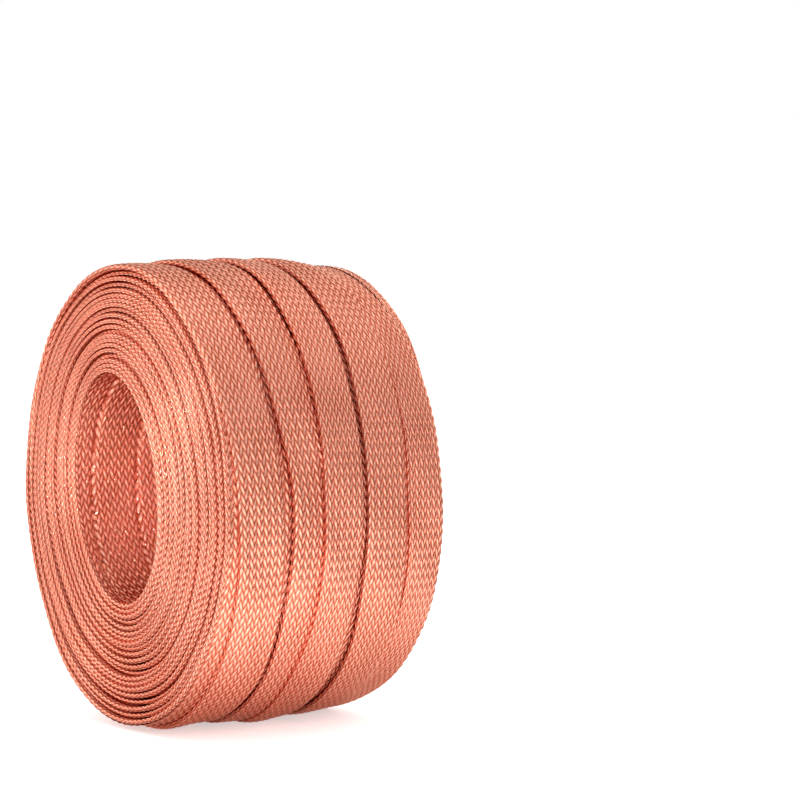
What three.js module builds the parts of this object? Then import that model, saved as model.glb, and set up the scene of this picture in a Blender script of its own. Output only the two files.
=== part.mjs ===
// A roll of flat copper braid, wound in layers of side-by-side turns and lying on its rim.
// Millimetres, +Z up. The roll's axis runs along X. The origin is on the floor, under the roll's middle.
//
// The roll is one solid. Its cross-section is a closed outline in two coordinates: x along the roll's
// axis, and depth, which is the distance out from the open centre hole. The outline is carried once
// round the hole, and every turn of braid shows in it as a ridge.

import * as THREE from 'three';

// The braid: a woven copper sleeve pressed flat
const braidWidth = 25;
const braidThickness = 2.15;

// The winding
const layerCount = 22;
const laneCount = 5;
const lanePitch = 22;
const holeHalfWidth = 30;
const holeHalfHeight = 47;

// The hole lies behind the roll's middle and a little high, and leans, the top to the back, by this share
// of its height
const holeSetBack = 5;
const holeRise = 1.4;
const holeLean = 0.107;

// The two end faces, where the edges of the layers show as rings
const ringBulge = 1.1;
const ringSway = 0.5;
const ringSetBack = 2.2;
const setBackLayers = [3, 8, 12, 17, 19];
const shoulderInset = 5.5;
const farShoulder = 8.5;
const farShoulderSharpness = 6;
const shoulderCorner = 0.3;
const layerFoot = 0.3;

// The outer layer, where the lanes lie beside each other
const lowEdgeDrop = 1.1;
const highEdgeDrop = 0.35;
const edgeRun = 2.2;
const grooveDepth = 1.9;
const grooveHalfWidth = 0.6;

// The hole's wall, which is the underside of the first layer
const boreGrooveDepth = 0.7;
const boreGrooveHalfWidth = 0.9;

// How the edges of the outer lanes leave their even places in x on the way round: the left end, the four
// seams and the right end
const edgeWander = [
  { shift: 0.2, rise: -5.3, front: -0.7 },
  { shift: 3.2, rise: -6.8, front: 0 },
  { shift: 3.2, rise: -1, front: -4 },
  { shift: 3.7, rise: -4.1, front: -3.3 },
  { shift: 4.2, rise: -4.1, front: -1.7 },
  { shift: -4.5, rise: -3, front: 2.8 },
];
const evenEdge = { shift: 0, rise: 0, front: 0 };

// The open gap between neighbouring lanes at each seam
const laneGaps = [3, 0, 0, 0];

// How far each outer lane's two edges stand above the layer's even height
const laneLifts = [
  { left: -0.8, right: -0.9 },
  { left: 0.4, right: -1.4 },
  { left: 1.6, right: 0.9 },
  { left: 0.3, right: -0.2 },
  { left: -1.6, right: -1.4 },
];
const evenLane = { left: 0, right: 0 };

// The soft roll isn't an even oval. At every eighth of the way round, from the front over the top, the
// stack of layers is pressed in and the outer layer stands off it loosely by these lengths
const settling = [
  { pressed: 0, loose: 0 },
  { pressed: 0.8, loose: 0.6 },
  { pressed: 2.2, loose: 2.2 },
  { pressed: 1.2, loose: 1.2 },
  { pressed: 0.3, loose: 0.3 },
  { pressed: 1.9, loose: 2 },
  { pressed: 1, loose: 4.5 },
  { pressed: 0, loose: 2.4 },
];

// The layers below share the looseness: this share of it reaches the one below the outer layer, and from
// there it fades towards the hole
const stackSlack = 0.9;
const slackFade = 3;

// The braid's cut end lies on top of the last lane at the back, and its thickness sinks away below it
const tailAngle = 190;
const tailFadeAngle = 262;
const tailCutRun = 0.6;

// The soft roll settles on the floor and gets a small flat spot
const settleDepth = 0.5;

// Fineness of the model
const stepsRound = 42;

// Sizes that follow from the above
const windingDepth = layerCount * braidThickness;
const stackDepth = windingDepth - braidThickness;
const underside = settling[(settling.length * 3) / 4];
const axisHeight = holeHalfHeight + windingDepth - underside.pressed + underside.loose - settleDepth;
const halfLength = ((laneCount - 1) * lanePitch + braidWidth) / 2;
const outerHalfLength = halfLength - shoulderInset;

const copper = new THREE.MeshStandardMaterial({ color: 0xd9775c, roughness: 0.4, metalness: 1 });

// The settling as one smooth closed line, with pressed as x and loose as y
const settlingLine = new THREE.CatmullRomCurve3(
  settling.map(({ pressed, loose }) => new THREE.Vector3(pressed, loose, 0)),
  true,
  'catmullrom',
  0.5
);

function settlingAt(angle) {
  const { x, y } = settlingLine.getPoint(turnDegrees(angle) / 360);
  return { pressed: x, loose: y };
}

// Distance of an end face from the roll's middle at a depth, without the ring relief. Only the right end
// has a round shoulder.
function faceDistance(depth, side) {
  const share = Math.min(1, depth / windingDepth);
  const shoulder = side > 0 ? farShoulder * share ** farShoulderSharpness : 0;
  return halfLength - shoulder;
}

// How far a layer of the stack is lifted by the looseness at an angle
function slackAt(layer, angle) {
  return stackSlack * settlingAt(angle).loose * (layer / (layerCount - 1)) ** slackFade;
}

// How far one layer's edge stands out of line at an angle round the roll. A few layers lie further in.
function ringOffset(layer, angle, side) {
  const slow = Math.sin(angle + side + 2.4 * layer);
  const quick = Math.sin(2 * angle + 3.9 * layer * side);
  const wave = 0.6 * slow + 0.4 * quick;
  const setBack = setBackLayers.includes(layer) ? ringSetBack * THREE.MathUtils.clamp(0.6 + wave, 0, 1) : 0;
  return ringSway * wave - setBack;
}

// Rings of one end face, from the hole outwards: a groove below each layer, then the layer's round edge.
// The bare shoulder of the last ring comes after them, with the foot of the outer layer on it.
function faceOutline(angle, side) {
  const points = [];
  for (let layer = 0; layer < layerCount - 1; layer += 1) {
    const grooveAt = layer * braidThickness + slackAt(layer, angle);
    const crestAt = grooveAt + braidThickness / 2;
    const offset = ringOffset(layer, angle, side);
    points.push([side * (faceDistance(grooveAt, side) - ringBulge), grooveAt]);
    points.push([side * (faceDistance(crestAt, side) + offset), crestAt]);
  }
  const edges = outerEdges(angle);
  const outerEdge = side < 0 ? edges[0] : edges[laneCount];
  const stackTop = stackDepth + slackAt(layerCount - 1, angle);
  points.push([side * (faceDistance(stackTop, side) - shoulderCorner), stackTop]);
  points.push([outerEdge - side * layerFoot, stackTop + layerFoot]);
  return points;
}

// The outer lanes' edges at an angle, from the left edge of the first lane to the right edge of the last
function outerEdges(angle) {
  const edges = [];
  const laneWidth = (2 * outerHalfLength) / laneCount;
  for (let edge = 0; edge <= laneCount; edge += 1) {
    const { shift, rise, front } = edgeWander[edge] ?? evenEdge;
    const drift = shift + rise * Math.sin(angle) + front * Math.cos(angle);
    edges.push(edge * laneWidth - outerHalfLength + drift);
  }
  return edges;
}

// Degrees round the roll from the front, always between 0 and 360
function turnDegrees(angle) {
  const degrees = THREE.MathUtils.radToDeg(angle);
  return ((degrees % 360) + 360) % 360;
}

// How far the braid's end raises the last lane
function tailRise(lane, angle) {
  const degrees = turnDegrees(angle);
  if (lane < laneCount - 1 || degrees < tailAngle || degrees > tailFadeAngle) {
    return 0;
  }
  return 2 * braidThickness * (1 - THREE.MathUtils.smoothstep(degrees, tailAngle, tailFadeAngle));
}

// The outer lanes from left to right. Each lane's left edge tucks down beside the right edge of the lane
// before it, so the lanes look shingled.
function outerOutline(angle) {
  const edges = outerEdges(angle);
  const { loose } = settlingAt(angle);
  const points = [];
  for (let lane = 0; lane < laneCount; lane += 1) {
    const gapBefore = laneGaps[lane - 1] ?? 0;
    const gapAfter = laneGaps[lane] ?? 0;
    const left = edges[lane] + gapBefore / 2 + grooveHalfWidth;
    const right = edges[lane + 1] - gapAfter / 2 - grooveHalfWidth;
    const lift = laneLifts[lane] ?? evenLane;
    const height = windingDepth + loose + tailRise(lane, angle);
    const leftTop = height + lift.left;
    const rightTop = height + lift.right;
    points.push([left, leftTop - lowEdgeDrop]);
    points.push([left + edgeRun, leftTop - highEdgeDrop]);
    points.push([(left + right) / 2, (leftTop + rightTop) / 2]);
    points.push([right - edgeRun, rightTop]);
    points.push([right, rightTop - highEdgeDrop]);
    if (lane < laneCount - 1) {
      points.push([edges[lane + 1] - gapAfter / 2, windingDepth + loose - grooveDepth]);
    }
    if (gapAfter > 0) {
      points.push([edges[lane + 1] + gapAfter / 2, windingDepth + loose - grooveDepth]);
    }
  }
  return points;
}

// The first layer's lanes as seen inside the hole, from right to left
function boreOutline() {
  const points = [];
  const laneWidth = (2 * halfLength) / laneCount;
  for (let seam = laneCount - 1; seam > 0; seam -= 1) {
    const x = seam * laneWidth - halfLength;
    points.push([x + boreGrooveHalfWidth, 0]);
    points.push([x, boreGrooveDepth]);
    points.push([x - boreGrooveHalfWidth, 0]);
  }
  return points;
}

// The whole closed outline at one angle
function rollOutline(angle) {
  return [
    ...faceOutline(angle, -1),
    ...outerOutline(angle),
    ...faceOutline(angle, 1).reverse(),
    ...boreOutline(),
  ];
}

// A point at an angle round the roll, in the oval winding: the depth is laid off square to the hole's
// wall, so the layers keep about one thickness all the way round, and then the hole is moved and leaned.
// Angle 0 is the front, and 90 degrees the top.
function windingPoint(angle, x, depth) {
  const holeY = -holeHalfWidth * Math.cos(angle);
  const holeZ = holeHalfHeight * Math.sin(angle);
  const outward = new THREE.Vector2(holeY / holeHalfWidth ** 2, holeZ / holeHalfHeight ** 2).normalize();
  const pressedDepth = depth * (1 - settlingAt(angle).pressed / windingDepth);
  const y = holeY + pressedDepth * outward.x;
  const z = holeZ + pressedDepth * outward.y;
  const inward = 1 - depth / windingDepth;
  const shiftedY = y + inward * (holeSetBack + holeLean * z);
  return new THREE.Vector3(x, shiftedY, Math.max(0, axisHeight + z + inward * holeRise));
}

// Angles of the outlines: even steps, with one more on each side of the braid's cut end
function outlineAngles() {
  const degrees = [];
  for (let step = 0; step < stepsRound; step += 1) {
    degrees.push((step * 360) / stepsRound);
  }
  degrees.push(tailAngle - tailCutRun, tailAngle);
  degrees.sort((a, b) => a - b);
  return degrees.map((angle) => THREE.MathUtils.degToRad(angle));
}

// One closed skin through the outlines, joined back to the first one
function windingGeometry() {
  const positions = [];
  const angles = outlineAngles();
  for (const angle of angles) {
    for (const [x, depth] of rollOutline(angle)) {
      positions.push(...windingPoint(angle, x, depth).toArray());
    }
  }
  const outlineSize = rollOutline(0).length;
  const indices = [];
  for (let ring = 0; ring < angles.length; ring += 1) {
    const here = ring * outlineSize;
    const next = ((ring + 1) % angles.length) * outlineSize;
    for (let point = 0; point < outlineSize; point += 1) {
      const after = (point + 1) % outlineSize;
      indices.push(here + point, here + after, next + after);
      indices.push(here + point, next + after, next + point);
    }
  }
  const geometry = new THREE.BufferGeometry();
  geometry.setAttribute('position', new THREE.Float32BufferAttribute(positions, 3));
  geometry.setIndex(indices);
  geometry.computeVertexNormals();
  return geometry;
}

function buildBraidRoll() {
  const roll = new THREE.Mesh(windingGeometry(), copper);
  roll.name = 'braid_roll';
  return roll;
}

const braid = new THREE.Group();
braid.add(buildBraidRoll());

export default braid;
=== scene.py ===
"""A roll of flat copper braid: its woven outer turns, the ring edges of its layers and its bore."""

import math

import bpy
import numpy as np
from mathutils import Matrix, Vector


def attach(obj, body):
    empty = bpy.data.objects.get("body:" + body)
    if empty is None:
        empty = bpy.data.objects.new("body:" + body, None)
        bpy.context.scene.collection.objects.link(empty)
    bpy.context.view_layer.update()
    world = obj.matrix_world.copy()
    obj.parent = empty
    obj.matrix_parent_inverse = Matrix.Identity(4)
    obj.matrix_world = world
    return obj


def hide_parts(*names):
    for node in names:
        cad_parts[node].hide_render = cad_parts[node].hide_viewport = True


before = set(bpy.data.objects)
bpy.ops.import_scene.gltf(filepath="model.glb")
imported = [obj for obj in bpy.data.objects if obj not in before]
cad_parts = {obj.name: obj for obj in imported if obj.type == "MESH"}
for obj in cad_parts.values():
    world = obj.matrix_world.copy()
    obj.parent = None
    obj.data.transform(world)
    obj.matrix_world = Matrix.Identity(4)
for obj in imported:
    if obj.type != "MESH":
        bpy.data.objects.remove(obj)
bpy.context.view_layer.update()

# Lengths of the roll are in millimetres up to the point where a mesh or a camera is made
MM = 0.001
FULL_TURN = 360
NODE = "braid_roll"
BODY = "root"

# The two end faces, by their side along x
NEAR = -1
FAR = 1

# The winding, with the same sizes as the solid. It settles by this much into a flat spot on the floor.
LAYERS = 22
THICKNESS = 2.15
HOLE_HALF_WIDTH = 30.0
HOLE_HALF_HEIGHT = 47.0
SETTLE = 0.5

# The hole lies behind the roll's middle and a little high, and leans, the top to the back, by this share
# of its height
HOLE_SET_BACK = 5.0
HOLE_RISE = 1.4
HOLE_LEAN = 0.107

# The soft roll isn't an even oval. At every eighth of the way round, from the front over the top, the
# stack of layers is pressed in and the outer layer stands off it loosely by these lengths
PRESSED = (0, 0.8, 2.2, 1.2, 0.3, 1.9, 1.0, 0)
LOOSE = (0, 0.6, 2.2, 1.2, 0.3, 2.0, 4.5, 2.4)
UNDERSIDE = 6

DEPTH = LAYERS * THICKNESS
AXIS_HEIGHT = HOLE_HALF_HEIGHT + DEPTH - PRESSED[UNDERSIDE] + LOOSE[UNDERSIDE] - SETTLE
HALF_THICKNESS = THICKNESS / 2

# Slow unevenness of the soft layers, as waves: how many go round the roll, their lean along x in radians
# per mm, their phase and their share of the height
UNEVEN_HEIGHT = 0.3
UNEVEN_WAVES = ((7, 0.16, 0.0, 1.0), (4, -0.11, 1.7, 0.8), (13, 0.29, 1.0, 0.5))

# The weave: a sleeve of strands that pass over two and under two. One cell is one strand of each
# lean, side by side, and one strand further along.
STRANDS_PASSED = 2
CELL_ALONG = 4.26
CELLS_ROUND_SLEEVE = 14
STRAND_RELIEF = 0.42
STRAND_LEAN = math.radians(22.9)
WEAVE_MAP = "weave"

# A strand is round across its width and arched along its length. The powers make both shapes fuller or
# sharper than a sine wave, and a share of the height is left where the strand dives under its neighbours.
CROWN_POWER = 0.8
ARCH_POWER = 1.1
DIVED_HEIGHT = 0.12

# Width of a cell where a layer lies flat, and the shift of the pattern across a layer, in cells
LAYER_CELL_WIDTH = 3.53
CELL_PHASE = 0.25

# Fineness: points for each cell, and steps for each degree where a length round the roll is measured
SAMPLES_ALONG = 6
SAMPLES_ACROSS = 6
COARSE_SAMPLES = 5
COARSEST_SAMPLES = 4
MEASURING_STEPS = 4

# Turned angles run in degrees from the roll's top down its front, under it and up its back, and on over
# all the turns of the outer layer
FRONT_ANGLE = 90
BACK_ANGLE = 270

# The outer layer is one band. Its left edge is given in x for each turn at these turned angles.
EDGE_ANGLES = (0, 30, 60, 90, 120, 150, 180, 270)
TURN_LEFT_EDGES = (
    (-57.5, -57.3, -55.0, -51.5, -49.2, -46.5, -45.0, -40.0),
    (-33.0, -34.3, -30.8, -25.6, -25.0, -22.5, -18.5, -14.0),
    (-9.5, -11.0, -11.3, -11.0, -10.5, -9.0, -6.0, 0.0),
    (12.4, 11.3, 10.5, 10.8, 12.6, 16.0, 18.0, 20.0),
    (23.0, 27.0, 32.0, 33.1, 34.6, 33.0, 29.5, 25.0),
)
TURN_WIDTHS = (22.2, 23.5, 19.6, 21.6, 17.6)
TURNS = len(TURN_WIDTHS)

# How far the left and right edge of each turn stand above the layer's even height, at the same turn's
# top, front, underside and back
LIFT_ANGLES = (0, 90, 180, 270)
TURN_LEFT_LIFTS = (
    (-2.3, -0.8, -0.6, -0.6),
    (0.5, 0.4, 0.1, 0.2),
    (0.9, 1.6, 0.9, 0.8),
    (0.8, 0.5, 0.2, 0.2),
    (-1.6, -0.7, -1.2, -1.8),
)
TURN_RIGHT_LIFTS = (
    (-1.4, -0.9, -0.6, -0.8),
    (-0.9, -1.4, -0.9, -0.8),
    (-0.3, 0.5, 0.6, 0.6),
    (-1.0, -1.0, -0.9, -0.4),
    (-2.2, -1.4, -1.6, -1.8),
)

# How far the middle of a turn bulges above the line between its edges
TURN_CROWN = 0.35

# The band starts at the back, sunk into the roll, and has come up at the top
START_ANGLE = -90
START_LEFT_EDGE = -55.5
START_DROP = 3.0

# The cut end lies at the back too. Before it, the band climbs over this many degrees and by this height.
TAIL_ANGLE = 1700
TAIL_CLIMB = 72
TAIL_RISE = 4.3

# Both ends of the sleeve are turned inwards by this many degrees, at this share of the sleeve's
# thickness, and are all but closed at the far end of the turned-in part
CUT_TUCK = 3.0
CUT_INNER = 0.5
CUT_CLOSED = 0.02

# Distance of the end faces from the roll's middle
FACE_DISTANCE = 56.0

# How the layers below the outer one share its looseness: this share of it reaches the next layer, and it
# fades towards the hole
STACK_SLACK = 0.9
SLACK_FADE = 3

# The layer below the outer one: how far its edges stay inside the end faces, the stretch of x that the
# outer turns cover and that has only a few columns, and the drop at its edges
UNDER_LEFT_INSET = 0.6
UNDER_RIGHT_INSET = 7
COVERED_FROM = -16
COVERED_TO = 28
COVERED_COLUMNS = 15
UNDER_EDGE_RUN = 1.2
UNDER_EDGE_DROP = 0.5

# The far face has a round shoulder
FAR_SHOULDER = 8.5
FAR_SHOULDER_SHARPNESS = 6

# The rings on both end faces, which are the edges of the layers, sway in x. A slow and a quick wave go
# round, each with its share and with its step of phase from one layer to the next.
RING_SWAY = 0.5
SLOW_SHARE = 0.6
SLOW_STEP = 2.4
QUICK_SHARE = 0.4
QUICK_STEP = 3.9

# A few layers lie further in, by up to this length, and on the average by this share of it
RING_SET_BACK = 2.2
SET_BACK_LAYERS = (3, 8, 12, 17, 19)
SET_BACK_SHARE = 0.6

# The rings' even spacing sways too, most half-way out from the hole
SPACING_WAVE = 0.45
SPACING_STEP = 0.9

# A ring's section: a bulging edge that reaches some way in, with a clearance to its neighbours. The
# layers that lie further in have the wide one.
RING_BULGE = 0.95
RING_CLEARANCE = 0.12
WIDE_CLEARANCE = 0.3
RING_REACH = 6.0
FAR_RING_OVERLAP = 0.5
RING_ARC_STEPS = 4

# The weave on the rings, and its shift from one ring to the next in cells
RING_CELL_ALONG = 3.1
RING_CELL_WIDTH = 2.7
RING_RELIEF = 0.38
RING_CELL_SHIFT = 0.618

# The wall of the hole, and the slanting seams between its lanes
BORE_INSET = 1.5
BORE_LANE_PITCH = 22.0
BORE_SEAM_DEPTH = 2.0
BORE_SEAM_HALF_WIDTH = 1.0
BORE_SEAM_SHIFT = 9.0

# The photograph's frame
IMAGE_SIZE = 800
ROLL_CENTRE_PIXEL = (233.0, 486.0)
MM_PER_PIXEL = 0.4187
CAMERA_AZIMUTH = -35.5
CAMERA_ELEVATION = 4.5
CAMERA_DISTANCE = 1130.0
CAMERA_CLIP_END = 50
SENSOR_WIDTH = 36.0

# Copper, as linear colours, from the deep places of the weave to the tops of its strands: painted shade
# low in the weave, plain copper, and a painted highlight on the strand tops
COPPER_PAINTED_SHADE = (0.44, 0.082, 0.034, 1.0)
COPPER = (0.93, 0.32, 0.215, 1.0)
COPPER_PAINTED_HIGHLIGHT = (0.98, 0.52, 0.39, 1.0)
COPPER_SHADE_TO_HIGHLIGHT_STOPS = ((0.05, COPPER_PAINTED_SHADE), (0.5, COPPER), (1.0, COPPER_PAINTED_HIGHLIGHT))
EDGE_TINT = (1.0, 0.78, 0.66, 1.0)

# The wires that make up a strand are only a bump, with a share of the strand's height
WIRES_PER_STRAND = 6
WIRE_HEIGHT = 0.16
BUMP_DISTANCE = 0.3

# Unevenness of the copper's tone from strand to strand, and in patches that also change its roughness
STRAND_SHADE_SCALE = 1.7
STRAND_SHADE = 0.25
LEFT_STRAND_SHIFT = 0.37
PATCH_SCALE = 55.0
PATCH_DETAIL = 3.0
PATCH_SHADE = 0.25
TONE_DROP = 0.2
LOWEST_ROUGHNESS = 0.17
PATCH_ROUGHNESS = 0.14
WIRE_ANISOTROPY = 0.85

# The floor, in metres. It glows evenly, and more to the camera, which sees it white.
FLOOR_SIZE = 60
FLOOR_COLOUR = (0.93, 0.93, 0.93, 1.0)
FLOOR_ROUGHNESS = 0.9
FLOOR_GLOW = 0.15
FLOOR_GLOW_SEEN = 0.36
WHITE = (1, 1, 1, 1)

# In the metal's reflections the floor glows brightest round one place in front of the roll, a painted
# pool of light that no lamp casts. The glow there starts at this y and is full after the run.
BRIGHT_FLOOR_CENTRE = (-0.16, -0.2, 0.0)
BRIGHT_FLOOR_RADIUS = 0.36
PAINTED_FLOOR_GLOW = 1.5
BRIGHT_FLOOR_START = -0.03
BRIGHT_FLOOR_RUN = -0.09

# In the metal's reflections the floor is also painted darker to the right, a painted shade, from this x
# on
PAINTED_FLOOR_SHADE_COLOUR = (0.45, 0.45, 0.45, 1.0)
DIM_FLOOR_START = -0.03
DIM_FLOOR_RUN = 0.2

# The studio round the roll is brightest towards one side, and has one more glow high in front. Each is a
# direction, the span of its cosine over which the level changes, and the levels at the span's ends.
BRIGHT_SIDE = (-0.93, 0.37, -0.02)
BRIGHT_SIDE_SPAN = (0.0, 0.9)
BRIGHT_SIDE_LEVELS = (0.43, 1.15)
BRIGHT_TOP = (0.35, -0.55, 0.76)
BRIGHT_TOP_SPAN = (0.5, 1.0)
BRIGHT_TOP_LEVELS = (0.0, 0.75)

# The narrow lamp of the hole, in metres, from its target on the wall of the hole
HOLE_LIGHT_TARGET = (-0.03, 0.028, 0.12)
HOLE_LIGHT_AWAY = (-0.74, -0.5, 0.2)
HOLE_LIGHT_WATTS = 270
HOLE_LIGHT_SIZE = 0.05
HOLE_LIGHT_CONE = math.radians(2.1)
HOLE_LIGHT_BLEND = 0.5


def smooth_step(t):
    """From 0 to 1 with a level start and end."""
    t = np.clip(t, 0, 1)
    return t**2 * (3 - 2 * t)


def smooth_curve(at, keys, values):
    """A smooth line through given values."""
    keys = np.asarray(keys, float)
    values = np.asarray(values, float)
    slopes = np.gradient(values, keys)
    left = np.clip(np.searchsorted(keys, at, side="right") - 1, 0, len(keys) - 2)
    span = keys[left + 1] - keys[left]
    t = np.clip((at - keys[left]) / span, 0.0, 1.0)
    left_share = 2 * t**3 - 3 * t**2 + 1
    right_share = 1 - left_share
    left_slope_share = t**3 - 2 * t**2 + t
    right_slope_share = t**3 - t**2
    return (
        left_share * values[left]
        + left_slope_share * span * slopes[left]
        + right_share * values[left + 1]
        + right_slope_share * span * slopes[left + 1]
    )


def settled(lengths, angle):
    """One of the settling lengths at an angle, on a smooth closed line through its eight values."""
    around = np.arange(-1, len(lengths) + 3)
    keys = around * 2 * math.pi / len(lengths)
    return smooth_curve(np.mod(angle, 2 * math.pi), keys, np.take(lengths, around % len(lengths)))


def oval(angle, depth):
    """Y and Z of the winding. Angle 0 is the front and a quarter turn is the top, in radians."""
    hole_y = -HOLE_HALF_WIDTH * np.cos(angle)
    hole_z = HOLE_HALF_HEIGHT * np.sin(angle)
    out_y = hole_y / HOLE_HALF_WIDTH**2
    out_z = hole_z / HOLE_HALF_HEIGHT**2
    size = np.hypot(out_y, out_z)
    inward = 1 - depth / DEPTH
    pressed_depth = depth * (1 - settled(PRESSED, angle) / DEPTH)
    y = hole_y + pressed_depth * out_y / size
    z = hole_z + pressed_depth * out_z / size
    return y + inward * (HOLE_SET_BACK + HOLE_LEAN * z), AXIS_HEIGHT + z + inward * HOLE_RISE


def winding_angle(turned):
    """The winding's angle in radians for a turned angle."""
    return np.radians(FRONT_ANGLE - turned)


def winding_points(turned, x, depth):
    """Points of the winding, in a grid. The three values are grids too, or a row or a column of one."""
    angle = winding_angle(turned)
    waves = 0.0
    for count, lean, phase, share in UNEVEN_WAVES:
        waves = waves + share * np.sin(count * angle + lean * x + phase)
    y, z = oval(angle, depth + UNEVEN_HEIGHT * waves * depth / DEPTH)
    return np.stack([np.broadcast_to(x, y.shape), y, np.maximum(z, 0.0)], axis=-1)


def measured_run(first, last, depth):
    """Turned angles in fine steps, and the length run along the oval to each, at one depth."""
    turned = np.linspace(first, last, int((last - first) * MEASURING_STEPS) + 1)
    y, z = oval(winding_angle(turned), depth)
    return turned, np.concatenate([[0.0], np.cumsum(np.hypot(np.diff(y), np.diff(z)))])


def even_stations(first, last, depth, spacing):
    """Turned angles at an even spacing along the oval at one depth, and the length run at each."""
    turned, run = measured_run(first, last, depth)
    wanted = np.linspace(0.0, run[-1], int(round(run[-1] / spacing)) + 1)
    return np.interp(wanted, run, turned), wanted


def weave_relief(u, v):
    """Height of the strands, 0 to 1. U counts cells along the braid and v counts them across it."""
    lean_right = 2 * v - u
    lean_left = 2 * v + u
    right_strand = np.floor(lean_right)
    left_strand = np.floor(lean_left)
    period = 2 * STRANDS_PASSED
    right_on_top = np.mod(right_strand + left_strand, period) < STRANDS_PASSED
    side = np.where(right_on_top, lean_right - right_strand, lean_left - left_strand)
    reach_right = np.mod(lean_left + right_strand, period)
    reach_left = np.mod(lean_right + left_strand, period) - STRANDS_PASSED
    reach = np.where(right_on_top, reach_right, reach_left) / STRANDS_PASSED
    crown = np.sin(np.pi * np.clip(side, 0, 1)) ** CROWN_POWER
    arch = np.sin(np.pi * np.clip(reach, 0, 1)) ** ARCH_POWER
    return crown * (DIVED_HEIGHT + (1 - DIVED_HEIGHT) * arch)


def weave_cells(u, v):
    """A grid of places in the weave, with u along its rows and v along its columns."""
    return np.stack(np.broadcast_arrays(u[:, None], v[None, :]), axis=-1)


def whole_cells(run, cell):
    """Places along a closed line, in cells that are stretched so that a whole number goes round."""
    return run / run[-1] * round(run[-1] / cell)


def grid_normals(points, close_rows, close_columns):
    """Unit normals of a grid of points, along rows x columns."""

    def step(axis, closed):
        if closed:
            return np.roll(points, -1, axis) - np.roll(points, 1, axis)
        return np.gradient(points, axis=axis)

    normal = np.cross(step(0, close_rows), step(1, close_columns))
    return normal / np.maximum(np.linalg.norm(normal, axis=-1, keepdims=True), 1e-9)


def grid_faces(rows, columns, cells, close_rows, close_columns, flip):
    """Point numbers and weave cells at the four corners of every face of a grid."""
    face_rows = rows if close_rows else rows - 1
    face_columns = columns if close_columns else columns - 1
    row, column = np.indices((face_rows, face_columns))
    corners = [(row, column), (row + 1, column), (row + 1, column + 1), (row, column + 1)]
    if flip:
        corners.reverse()
    index = np.stack([down % rows * columns + along % columns for down, along in corners], axis=-1)
    uv = np.stack([cells[down, along] for down, along in corners], axis=-2)
    return index.reshape(-1, 4), uv


def mesh_object(name, points, faces, uv):
    """A smooth mesh object of four-sided faces, from points in mm."""
    mesh = bpy.data.meshes.new(name)
    mesh.vertices.add(points.size // 3)
    mesh.vertices.foreach_set("co", (points * MM).astype(np.float32).ravel())
    mesh.loops.add(faces.size)
    mesh.loops.foreach_set("vertex_index", faces.ravel().astype(np.int32))
    mesh.polygons.add(len(faces))
    mesh.polygons.foreach_set("loop_start", np.arange(0, faces.size, 4, dtype=np.int32))
    layer = mesh.uv_layers.new(name=WEAVE_MAP)
    layer.data.foreach_set("uv", uv.reshape(-1).astype(np.float32))
    mesh.polygons.foreach_set("use_smooth", np.ones(len(faces), dtype=bool))
    mesh.update()
    mesh.validate()
    piece = bpy.data.objects.new(name, mesh)
    bpy.context.scene.collection.objects.link(piece)
    return piece


def woven_grid(name, points, cells, height, close_rows=False, close_columns=False, flip=False):
    """A mesh object from a grid of points in mm, with strands of a height in mm. Cells holds u and v for
    each point, with one more row or column where the grid closes on itself."""
    rows, columns = points.shape[:2]
    woven = cells[:rows, :columns]
    relief = height * (weave_relief(woven[..., 0], woven[..., 1]) - 0.5)
    side = -1.0 if flip else 1.0
    points = points + side * grid_normals(points, close_rows, close_columns) * relief[..., None]
    points[..., 2] = np.maximum(points[..., 2], 0.0)
    faces, uv = grid_faces(rows, columns, cells, close_rows, close_columns, flip)
    return mesh_object(name, points, faces, uv)


def own(piece, material):
    """Give a new piece its finish and its place on the roll."""
    piece.data.materials.append(material)
    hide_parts(NODE)
    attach(piece, BODY)


def on_every_turn(angles):
    """The turned angles that lie at the same places on every turn of the outer band."""
    return [FULL_TURN * turn + angle for turn in range(TURNS) for angle in angles]


def band_edges(turned):
    """Left edge, width and the heights of both edges of the outer band at any turned angle."""
    keys = [START_ANGLE, *on_every_turn(EDGE_ANGLES)]
    left = smooth_curve(turned, keys, [START_LEFT_EDGE, *np.ravel(TURN_LEFT_EDGES)])
    width = smooth_curve(turned, on_every_turn([FRONT_ANGLE]), TURN_WIDTHS)
    lift_keys = on_every_turn(LIFT_ANGLES)
    left_lift = smooth_curve(turned, lift_keys, np.ravel(TURN_LEFT_LIFTS))
    right_lift = smooth_curve(turned, lift_keys, np.ravel(TURN_RIGHT_LIFTS))
    sunk = -START_DROP * (1 - smooth_step((turned - START_ANGLE) / -START_ANGLE))
    raised = TAIL_RISE * smooth_step((turned - TAIL_ANGLE + TAIL_CLIMB) / TAIL_CLIMB)
    stand = settled(LOOSE, winding_angle(turned)) + sunk + raised
    return left, width, left_lift + stand, right_lift + stand


def band_profile():
    """Round the flat sleeve's section: share of the flat width, edge offset and height."""
    edge_steps = 4
    under_steps = 4
    top_cells = 6
    top_steps = top_cells * SAMPLES_ACROSS
    entries = []
    for step in range(edge_steps):
        turn = math.pi * (-0.5 + step / edge_steps)
        entries.append((0.0, -math.cos(turn), math.sin(turn)))
    for step in range(top_steps):
        entries.append((step / top_steps, 0.0, 1.0))
    for step in range(edge_steps):
        turn = math.pi * (0.5 - step / edge_steps)
        entries.append((1.0, math.cos(turn), math.sin(turn)))
    for step in range(under_steps):
        entries.append((1 - step / under_steps, 0.0, -1.0))
    return np.array(entries)


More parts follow.
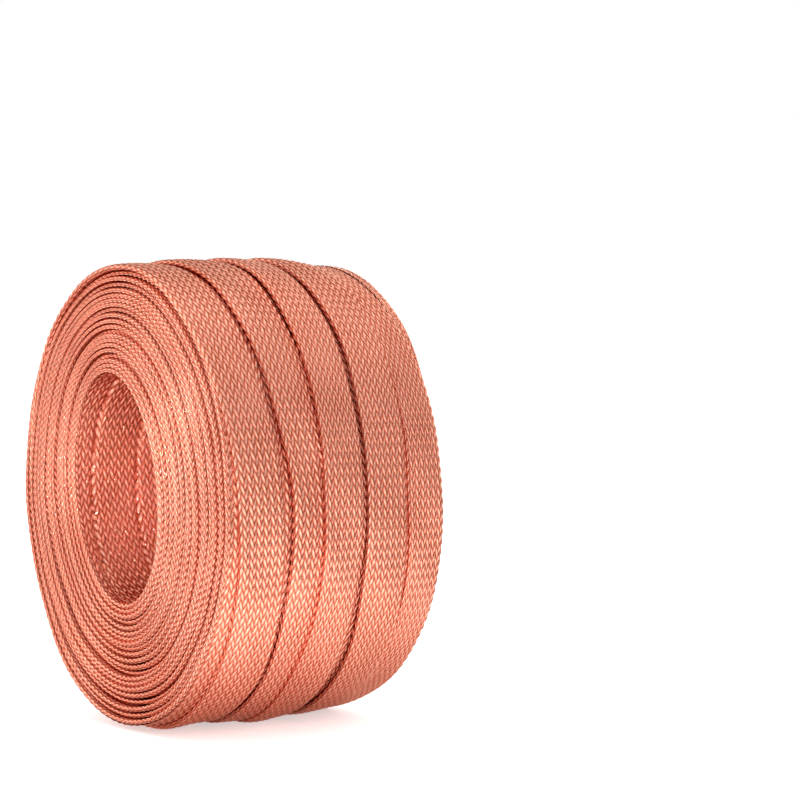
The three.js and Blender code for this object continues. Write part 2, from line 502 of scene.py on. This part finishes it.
def tuck_in_ends(turned, run, at_start, at_end):
    """Add stations that turn a cut end of the sleeve inwards, and say how thick the sleeve is at each."""
    thick = np.ones_like(turned)
    back = np.array([0.0, CUT_TUCK / 2, CUT_TUCK])
    inner = np.array([CUT_INNER, CUT_INNER, CUT_CLOSED])
    if at_start:
        turned = np.concatenate([(turned[0] + back)[::-1], turned])
        run = np.concatenate([np.full(len(back), run[0]), run])
        thick = np.concatenate([inner[::-1], thick])
    if at_end:
        turned = np.concatenate([turned, turned[-1] - back])
        run = np.concatenate([run, np.full(len(back), run[-1])])
        thick = np.concatenate([thick, inner])
    return turned, run, thick


def outer_turn(number, first, last, material):
    """One turn of the outer band: a flattened woven sleeve."""
    turned, run = even_stations(first, last, DEPTH, CELL_ALONG / SAMPLES_ALONG)
    turned, run, thick = tuck_in_ends(turned, run, first == START_ANGLE, last == TAIL_ANGLE)
    _, run_before = measured_run(START_ANGLE, first, DEPTH)
    left, width, left_lift, right_lift = band_edges(turned)
    share, out, up = band_profile().T
    out = out * thick[:, None]
    up = up * thick[:, None]
    flat = (width - THICKNESS)[:, None]
    x = left[:, None] + HALF_THICKNESS + share * flat + out * HALF_THICKNESS
    across = (x - left[:, None]) / width[:, None]
    lift = left_lift[:, None] * (1 - across) + right_lift[:, None] * across
    crown = TURN_CROWN * (1 - (2 * across - 1) ** 2)
    depth = DEPTH - HALF_THICKNESS + lift + up * HALF_THICKNESS + np.where(up > 0, crown * up, 0)
    points = winding_points(turned[:, None], x, depth)
    section = points[len(turned) // 2]
    section = np.concatenate([section, section[:1]])
    arc = np.concatenate([[0.0], np.cumsum(np.linalg.norm(np.diff(section, axis=0), axis=-1))])
    cells = weave_cells((run_before[-1] + run) / CELL_ALONG, arc / arc[-1] * CELLS_ROUND_SLEEVE)
    height = np.where(thick < 1, 0.0, STRAND_RELIEF)[:, None]
    own(woven_grid(f"turn_{number}", points, cells, height, close_columns=True), material)


def outer_band(material):
    """The outer layer, with one piece for each turn. The pieces meet at the back of the roll."""
    cuts = [START_ANGLE, *on_every_turn([BACK_ANGLE])[:-1], TAIL_ANGLE]
    for number in range(1, len(cuts)):
        outer_turn(number, cuts[number - 1], cuts[number], material)


def under_layer(material):
    """The layer below the outer band. It shows at the left shoulder and in the gaps between turns."""
    turned, run = even_stations(0, FULL_TURN, DEPTH - THICKNESS, CELL_ALONG / COARSE_SAMPLES)
    column = LAYER_CELL_WIDTH / COARSEST_SAMPLES
    left = np.arange(-FACE_DISTANCE + UNDER_LEFT_INSET, COVERED_FROM, column)
    middle = np.linspace(COVERED_FROM, COVERED_TO, COVERED_COLUMNS)
    right = np.arange(COVERED_TO + column, FACE_DISTANCE - UNDER_RIGHT_INSET, column)
    x = np.concatenate([left, middle, right])
    edge = np.clip((FACE_DISTANCE - np.abs(x)) / UNDER_EDGE_RUN, 0, 1)
    slack = STACK_SLACK * settled(LOOSE, winding_angle(turned[:-1, None]))
    depth = DEPTH - THICKNESS - UNDER_EDGE_DROP * (1 - edge) ** 2 + slack
    points = winding_points(turned[:-1, None], x, depth)
    cells = weave_cells(whole_cells(run, CELL_ALONG), (x + FACE_DISTANCE) / LAYER_CELL_WIDTH + CELL_PHASE)
    own(woven_grid("under_layer", points, cells, STRAND_RELIEF, close_rows=True), material)


def ring_places(layer, side, angle):
    """Distance from the roll's middle, and depth, of one ring at each angle round the roll."""
    middle = (layer + 0.5) * THICKNESS
    slow = np.sin(angle + side + SLOW_STEP * layer)
    quick = np.sin(2 * angle + QUICK_STEP * layer * side)
    wave = SLOW_SHARE * slow + QUICK_SHARE * quick
    set_back = 0.0
    if layer in SET_BACK_LAYERS:
        set_back = RING_SET_BACK * np.clip(SET_BACK_SHARE + wave, 0, 1)
    shoulder = 0.0
    if side == FAR:
        shoulder = FAR_SHOULDER * (middle / DEPTH) ** FAR_SHOULDER_SHARPNESS
    outward = layer / (LAYERS - 1)
    slack = STACK_SLACK * settled(LOOSE, angle) * outward**SLACK_FADE
    spread = SPACING_WAVE * np.sin(2 * angle + SPACING_STEP * layer) * math.sin(math.pi * outward)
    return FACE_DISTANCE - shoulder + RING_SWAY * wave - set_back, middle + spread + slack


def ring_section(layer, side):
    """Round one ring's edge: offsets in x and in depth, and the arc length at each point. The inner ends
    of the far rings overlap, so that no light shows between them from the other face."""
    steps = np.linspace(-math.pi / 2, math.pi / 2, RING_ARC_STEPS + 1)
    clearance = WIDE_CLEARANCE if layer in SET_BACK_LAYERS else RING_CLEARANCE
    inner_up = HALF_THICKNESS + (FAR_RING_OVERLAP if side == FAR else -clearance)
    out = np.concatenate([[-RING_REACH], RING_BULGE * (np.cos(steps) - 1), [-RING_REACH]])
    up = np.concatenate([[-inner_up], (HALF_THICKNESS - clearance) * np.sin(steps), [inner_up]])
    arc = np.concatenate([[-RING_REACH], HALF_THICKNESS * steps, [RING_REACH]])
    return out, up, arc


def face_ring(name, layer, side):
    """The edge of one inner layer on one end face: a half-round woven edge."""
    middle = (layer + 0.5) * THICKNESS
    turned, run = even_stations(0, FULL_TURN, middle, RING_CELL_ALONG / COARSE_SAMPLES)
    reach, depth = ring_places(layer, side, winding_angle(turned[:-1, None]))
    out, up, arc = ring_section(layer, side)
    points = winding_points(turned[:-1, None], side * (reach + out), depth + up)
    u = whole_cells(run, RING_CELL_ALONG) + RING_CELL_SHIFT * layer
    cells = weave_cells(u, arc / RING_CELL_WIDTH + CELL_PHASE)
    return woven_grid(f"{name}_{layer}", points, cells, RING_RELIEF, close_rows=True, flip=side == FAR)


def face_rings(name, side, material):
    """The edges of all the inner layers on one end face, as one piece."""
    rings = [face_ring(name, layer, side) for layer in range(LAYERS - 1)]
    own(join(name, rings), material)


def join(name, pieces):
    """Join mesh objects into the first one."""
    with bpy.context.temp_override(active_object=pieces[0], selected_editable_objects=pieces):
        bpy.ops.object.join()
    pieces[0].name = name
    pieces[0].data.name = name
    return pieces[0]


def bore(material):
    """The wall of the centre hole: the inner side of the first layer, with its slanting seams."""
    turned, run = even_stations(0, FULL_TURN, 0.0, CELL_ALONG / SAMPLES_ALONG)
    half = FACE_DISTANCE - BORE_INSET
    x = np.linspace(-half, half, int(2 * half / (LAYER_CELL_WIDTH / COARSE_SAMPLES)))
    seam_start = BORE_LANE_PITCH * turned[:-1, None] / FULL_TURN
    along_lane = np.mod(x + half - seam_start + BORE_SEAM_SHIFT, BORE_LANE_PITCH)
    to_seam = np.minimum(along_lane, BORE_LANE_PITCH - along_lane)
    depth = BORE_SEAM_DEPTH * np.exp(-((to_seam / BORE_SEAM_HALF_WIDTH) ** 2))
    points = winding_points(turned[:-1, None], x, depth)
    cells = weave_cells(whole_cells(run, CELL_ALONG), (x + half) / LAYER_CELL_WIDTH)
    own(woven_grid("bore", points, cells, STRAND_RELIEF, close_rows=True, flip=True), material)


class Nodes:
    """Short ways to add nodes to one node tree."""

    def __init__(self, owner):
        owner.use_nodes = True
        self.tree = owner.node_tree
        self.links = self.tree.links

    def add(self, kind, **values):
        node = self.tree.nodes.new(kind)
        for key, value in values.items():
            setattr(node, key, value)
        return node

    def plug(self, value, socket):
        if isinstance(value, bpy.types.NodeSocket):
            self.links.new(value, socket)
        else:
            socket.default_value = value

    def math(self, operation, a, b=0.0, c=0.0):
        node = self.add("ShaderNodeMath", operation=operation)
        for value, socket in zip((a, b, c), node.inputs):
            self.plug(value, socket)
        return node.outputs[0]

    def vector(self, operation, a, b, output="Vector"):
        node = self.add("ShaderNodeVectorMath", operation=operation)
        self.plug(a, node.inputs[0])
        self.plug(b, node.inputs[1])
        return node.outputs[output]

    def scaled(self, vector, factor):
        node = self.add("ShaderNodeVectorMath", operation="SCALE")
        self.plug(vector, node.inputs[0])
        self.plug(factor, node.inputs["Scale"])
        return node.outputs["Vector"]

    def ramp(self, value, start, run):
        """From 0 at the start to 1 at the end of the run."""
        share = self.math("DIVIDE", self.math("SUBTRACT", value, start), run)
        share.node.use_clamp = True
        return share

    def smooth_range(self, value, span, levels):
        """From the first level to the second while the value goes through the span."""
        node = self.add("ShaderNodeMapRange", interpolation_type="SMOOTHSTEP")
        for name, number in zip(("From Min", "From Max", "To Min", "To Max"), span + levels):
            node.inputs[name].default_value = number
        self.plug(value, node.inputs["Value"])
        return node.outputs["Result"]

    def choose(self, switch, when_zero, when_one):
        node = self.add("ShaderNodeMix", data_type="FLOAT")
        self.plug(switch, node.inputs["Factor"])
        self.plug(when_zero, node.inputs["A"])
        self.plug(when_one, node.inputs["B"])
        return node.outputs["Result"]

    def mix_colour(self, factor, a, b):
        node = self.add("ShaderNodeMix", data_type="RGBA")
        inputs = {socket.identifier: socket for socket in node.inputs}
        outputs = {socket.identifier: socket for socket in node.outputs}
        self.plug(factor, inputs["Factor_Float"])
        self.plug(a, inputs["A_Color"])
        self.plug(b, inputs["B_Color"])
        return outputs["Result_Color"]


def weave_nodes(nodes):
    """The pattern of weave_relief, worked out in the material: the place across the strand on top, the
    height, whether the strand leans right, and its number."""
    uv = nodes.add("ShaderNodeUVMap", uv_map=WEAVE_MAP).outputs["UV"]
    split = nodes.add("ShaderNodeSeparateXYZ")
    nodes.links.new(uv, split.inputs[0])
    u = split.outputs["X"]
    twice = nodes.math("MULTIPLY", split.outputs["Y"], 2.0)
    lean_right = nodes.math("SUBTRACT", twice, u)
    lean_left = nodes.math("ADD", twice, u)
    right_strand = nodes.math("FLOOR", lean_right)
    left_strand = nodes.math("FLOOR", lean_left)
    period = 2 * STRANDS_PASSED
    turn = nodes.math("FLOORED_MODULO", nodes.math("ADD", right_strand, left_strand), period)
    right_on_top = nodes.math("LESS_THAN", turn, STRANDS_PASSED)
    side = nodes.choose(right_on_top, nodes.math("FRACT", lean_left), nodes.math("FRACT", lean_right))
    reach_right = nodes.math("FLOORED_MODULO", nodes.math("ADD", lean_left, right_strand), period)
    reach_left = nodes.math("FLOORED_MODULO", nodes.math("ADD", lean_right, left_strand), period)
    reach_left = nodes.math("SUBTRACT", reach_left, STRANDS_PASSED)
    reach = nodes.math("DIVIDE", nodes.choose(right_on_top, reach_left, reach_right), STRANDS_PASSED)
    crown = nodes.math("SINE", nodes.math("MULTIPLY", side, math.pi))
    arch = nodes.math("SINE", nodes.math("MULTIPLY", reach, math.pi))
    arch = nodes.math("MULTIPLY_ADD", arch, 1 - DIVED_HEIGHT, DIVED_HEIGHT)
    height = nodes.math("MULTIPLY", crown, arch)
    strand = nodes.choose(right_on_top, nodes.math("ADD", left_strand, LEFT_STRAND_SHIFT), right_strand)
    return side, height, right_on_top, strand


def copper_material():
    """Bare copper wire in strands: bright, slightly rough metal with fine wires along each strand."""
    material = bpy.data.materials.new("bare_copper_braid")
    nodes = Nodes(material)
    shader = nodes.tree.nodes["Principled BSDF"]
    side, height, right_on_top, strand = weave_nodes(nodes)
    patch = nodes.add("ShaderNodeTexNoise")
    patch.inputs["Scale"].default_value = PATCH_SCALE
    patch.inputs["Detail"].default_value = PATCH_DETAIL
    nodes.links.new(nodes.add("ShaderNodeTexCoord").outputs["Object"], patch.inputs["Vector"])
    rough = nodes.math("MULTIPLY_ADD", patch.outputs["Fac"], PATCH_ROUGHNESS, LOWEST_ROUGHNESS)
    # The base colour paints shade low in the weave and a highlight on the strand tops
    colour = copper_with_painted_light(nodes, height, strand, patch.outputs["Fac"])
    nodes.links.new(colour, shader.inputs["Base Color"])
    nodes.links.new(wire_bump(nodes, side, height), shader.inputs["Normal"])
    nodes.links.new(across_wires(nodes, right_on_top), shader.inputs["Tangent"])
    nodes.links.new(rough, shader.inputs["Roughness"])
    shader.inputs["Metallic"].default_value = 1.0
    shader.inputs["Specular Tint"].default_value = EDGE_TINT
    shader.inputs["Anisotropic"].default_value = WIRE_ANISOTROPY
    return material


def copper_with_painted_light(nodes, height, strand, patch):
    """Copper with painted shade low down in the weave and a painted highlight on the strand tops, and a
    little uneven.
    """
    shade = nodes.add("ShaderNodeTexNoise", noise_dimensions="1D")
    shade.inputs["Scale"].default_value = STRAND_SHADE_SCALE
    nodes.links.new(strand, shade.inputs["W"])
    patches = nodes.math("MULTIPLY", patch, PATCH_SHADE)
    tone = nodes.math("MULTIPLY_ADD", shade.outputs["Fac"], STRAND_SHADE, patches)
    # Where the weave is low the ramp paints shade and where it is high it paints a highlight; the uneven
    # tone shifts both
    painted_light_and_tone = nodes.math("ADD", height, nodes.math("SUBTRACT", tone, TONE_DROP))
    colour = nodes.add("ShaderNodeValToRGB")
    stops = colour.color_ramp.elements
    # A new ramp has its two ends, so the middle stop is added
    stops.new(COPPER_SHADE_TO_HIGHLIGHT_STOPS[1][0])
    for stop, (place, value) in zip(stops, COPPER_SHADE_TO_HIGHLIGHT_STOPS):
        stop.position = place
        stop.color = value
    nodes.links.new(painted_light_and_tone, colour.inputs["Fac"])
    return colour.outputs["Color"]


def wire_bump(nodes, side, height):
    """The strands, rounded more than their mesh, with the wires in each as fine ridges."""
    wires = nodes.math("SINE", nodes.math("MULTIPLY", side, math.pi * WIRES_PER_STRAND))
    wires = nodes.math("ABSOLUTE", wires)
    bump = nodes.add("ShaderNodeBump")
    bump.inputs["Strength"].default_value = 1.0
    bump.inputs["Distance"].default_value = BUMP_DISTANCE * MM
    nodes.links.new(nodes.math("MULTIPLY_ADD", wires, WIRE_HEIGHT, height), bump.inputs["Height"])
    return bump.outputs["Normal"]


def across_wires(nodes, right_on_top):
    """Direction on the surface square to the wires of the strand on top, so that the gloss of the
    wires spreads round them and not along them."""
    along = nodes.add("ShaderNodeTangent", direction_type="UV_MAP", uv_map=WEAVE_MAP).outputs["Tangent"]
    normal = nodes.add("ShaderNodeNewGeometry").outputs["Normal"]
    across = nodes.vector("CROSS_PRODUCT", normal, along)
    shift = nodes.choose(right_on_top, math.sin(STRAND_LEAN), -math.sin(STRAND_LEAN))
    return nodes.vector("ADD", nodes.scaled(along, shift), nodes.scaled(across, math.cos(STRAND_LEAN)))


def floor():
    """A plain pale floor."""
    bpy.ops.mesh.primitive_plane_add(size=FLOOR_SIZE, location=(0, 0, 0))
    plane = bpy.context.object
    plane.name = "floor"
    plane.data.materials.append(floor_paint())


def floor_paint():
    """White paint that glows. In the metal's reflections it glows most in front of the roll, a painted
    pool of light, and is painted darker at the right, a painted shade.
    """
    paint = bpy.data.materials.new("pale_floor")
    nodes = Nodes(paint)
    shader = nodes.tree.nodes["Principled BSDF"]
    shader.inputs["Roughness"].default_value = FLOOR_ROUGHNESS
    shader.inputs["Specular IOR Level"].default_value = 0.0
    shader.inputs["Emission Color"].default_value = WHITE
    ray = nodes.add("ShaderNodeLightPath")
    place = nodes.add("ShaderNodeTexCoord").outputs["Object"]
    split = nodes.add("ShaderNodeSeparateXYZ")
    nodes.links.new(place, split.inputs[0])
    away = nodes.vector("DISTANCE", place, BRIGHT_FLOOR_CENTRE, output="Value")
    fade = nodes.math("DIVIDE", away, BRIGHT_FLOOR_RADIUS)
    bright = nodes.math("SUBTRACT", 1.0, nodes.math("MULTIPLY", fade, fade))
    bright.node.use_clamp = True
    in_front = nodes.ramp(split.outputs["Y"], BRIGHT_FLOOR_START, BRIGHT_FLOOR_RUN)
    # Glossy rays see a painted pool of light on the floor in front of the roll
    seen = nodes.math("MULTIPLY", nodes.math("MULTIPLY", ray.outputs["Is Glossy Ray"], bright), in_front)
    plain = nodes.math("MULTIPLY_ADD", ray.outputs["Is Camera Ray"], FLOOR_GLOW_SEEN, FLOOR_GLOW)
    glow = nodes.math("MULTIPLY_ADD", seen, PAINTED_FLOOR_GLOW, plain)
    to_right = nodes.ramp(split.outputs["X"], DIM_FLOOR_START, DIM_FLOOR_RUN)
    # Glossy rays see painted shade on the floor to the right
    dim = nodes.math("MULTIPLY", to_right, ray.outputs["Is Glossy Ray"])
    nodes.links.new(glow, shader.inputs["Emission Strength"])
    nodes.links.new(nodes.mix_colour(dim, FLOOR_COLOUR, PAINTED_FLOOR_SHADE_COLOUR), shader.inputs["Base Color"])
    return paint


def studio():
    """A world that is white to the camera, and to the roll a pale studio with two brighter places."""
    world = bpy.data.worlds.new("studio")
    bpy.context.scene.world = world
    nodes = Nodes(world)
    place = nodes.add("ShaderNodeTexCoord").outputs["Generated"]
    to_side = nodes.vector("DOT_PRODUCT", place, BRIGHT_SIDE, output="Value")
    to_top = nodes.vector("DOT_PRODUCT", place, BRIGHT_TOP, output="Value")
    side_level = nodes.smooth_range(to_side, BRIGHT_SIDE_SPAN, BRIGHT_SIDE_LEVELS)
    top_level = nodes.smooth_range(to_top, BRIGHT_TOP_SPAN, BRIGHT_TOP_LEVELS)
    background = nodes.tree.nodes["Background"]
    nodes.links.new(nodes.math("ADD", side_level, top_level), background.inputs["Color"])
    white = nodes.add("ShaderNodeBackground")
    white.inputs["Color"].default_value = WHITE
    ray = nodes.add("ShaderNodeLightPath")
    mix = nodes.add("ShaderNodeMixShader")
    sources = (ray.outputs["Is Camera Ray"], background.outputs[0], white.outputs[0])
    for output, socket in zip(sources, mix.inputs):
        nodes.links.new(output, socket)
    nodes.links.new(mix.outputs[0], nodes.tree.nodes["World Output"].inputs["Surface"])


def lamps():
    """Four soft lamps that face the roll, the side one for its gloss alone, and the lamp of the hole."""
    soft_lamp("top_light", place=(-0.1, 0.2, 1.5), size=1.6, watts=6)
    soft_lamp("front_light", place=(0.62, -0.88, 0.02), size=0.2, watts=0.6)
    soft_lamp("far_light", place=(0.8, 0.4, 0.15), size=0.7, watts=5)
    side = soft_lamp("side_light", place=(-1.12, 0.68, 0.12), size=0.8, watts=8.5)
    side.visible_diffuse = False
    hole_lamp()


def soft_lamp(name, place, size, watts):
    """A square lamp that faces the roll's middle, with its place and size in metres."""
    light = bpy.data.lights.new(name, "AREA")
    light.size = size
    light.energy = watts
    return hang(light, Vector(place), Vector((0, 0, AXIS_HEIGHT * MM)))


def hole_lamp():
    """A narrow lamp that reaches the wall inside the centre hole."""
    light = bpy.data.lights.new("hole_light", "SPOT")
    light.energy = HOLE_LIGHT_WATTS
    light.shadow_soft_size = HOLE_LIGHT_SIZE
    light.spot_size = HOLE_LIGHT_CONE
    light.spot_blend = HOLE_LIGHT_BLEND
    target = Vector(HOLE_LIGHT_TARGET)
    hang(light, target + Vector(HOLE_LIGHT_AWAY), target)


def hang(light, place, target):
    """Put a lamp at a place and turn it to its target."""
    holder = bpy.data.objects.new(light.name, light)
    bpy.context.scene.collection.objects.link(holder)
    holder.location = place
    holder.rotation_euler = (target - place).to_track_quat("-Z", "Y").to_euler()
    return holder


def camera():
    """The photograph's view: the near end face at the left, from slightly above."""
    azimuth = math.radians(CAMERA_AZIMUTH)
    elevation = math.radians(CAMERA_ELEVATION)
    back_x = math.sin(azimuth) * math.cos(elevation)
    back_y = -math.cos(azimuth) * math.cos(elevation)
    back = Vector((back_x, back_y, math.sin(elevation)))
    data = bpy.data.cameras.new("camera")
    data.sensor_width = SENSOR_WIDTH
    data.lens = SENSOR_WIDTH * CAMERA_DISTANCE / (IMAGE_SIZE * MM_PER_PIXEL)
    data.shift_x = (IMAGE_SIZE / 2 - ROLL_CENTRE_PIXEL[0]) / IMAGE_SIZE
    data.shift_y = (ROLL_CENTRE_PIXEL[1] - IMAGE_SIZE / 2) / IMAGE_SIZE
    data.clip_end = CAMERA_CLIP_END
    viewer = bpy.data.objects.new("camera", data)
    viewer.location = Vector((0, 0, AXIS_HEIGHT * MM)) + back * CAMERA_DISTANCE * MM
    viewer.rotation_euler = (-back).to_track_quat("-Z", "Y").to_euler()
    bpy.context.scene.collection.objects.link(viewer)
    bpy.context.scene.camera = viewer


camera()
floor()
studio()
lamps()
copper = copper_material()
outer_band(copper)
under_layer(copper)
face_rings("rings_near_face", NEAR, copper)
face_rings("rings_far_face", FAR, copper)
bore(copper)

bpy.context.scene.view_settings.view_transform = "Standard"
